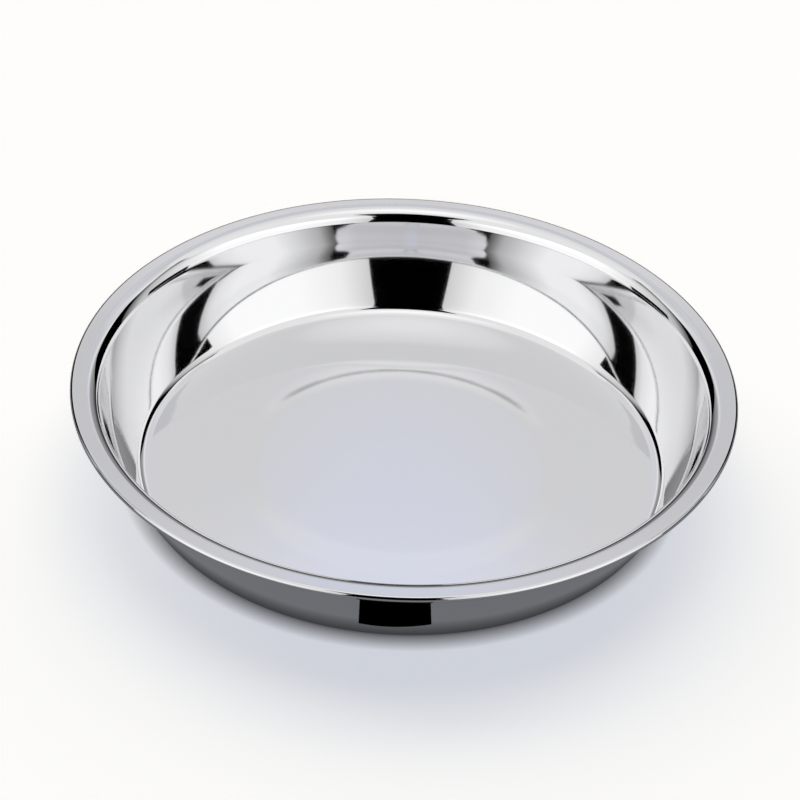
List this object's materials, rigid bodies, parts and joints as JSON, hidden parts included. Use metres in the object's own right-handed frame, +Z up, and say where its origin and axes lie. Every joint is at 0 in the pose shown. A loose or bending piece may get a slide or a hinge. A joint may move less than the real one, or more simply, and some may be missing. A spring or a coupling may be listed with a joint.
{
  "type": "thali plate",
  "caption": "Round deep steel serving plate with a flat floor, a faintly raised middle, a tall flared wall and a flat rim rolled over a stiffening wire.",
  "frame": {"origin": "centre of the plate's base, at the height of the surface that it stands on", "axes": "+Z up along the plate's axis; the plate is round, so X and Y are any two level directions"},
  "size_m": [0.3, 0.3, 0.0474],
  "materials": {
    "polished_steel": "mirror polished stainless steel",
    "drawn_wire": "plain drawn steel wire, hidden inside the rolled edge"
  },
  "bodies": {
    "root": {"dish": "polished_steel", "rim_wire": "drawn_wire"}
  },
  "joints": []
}
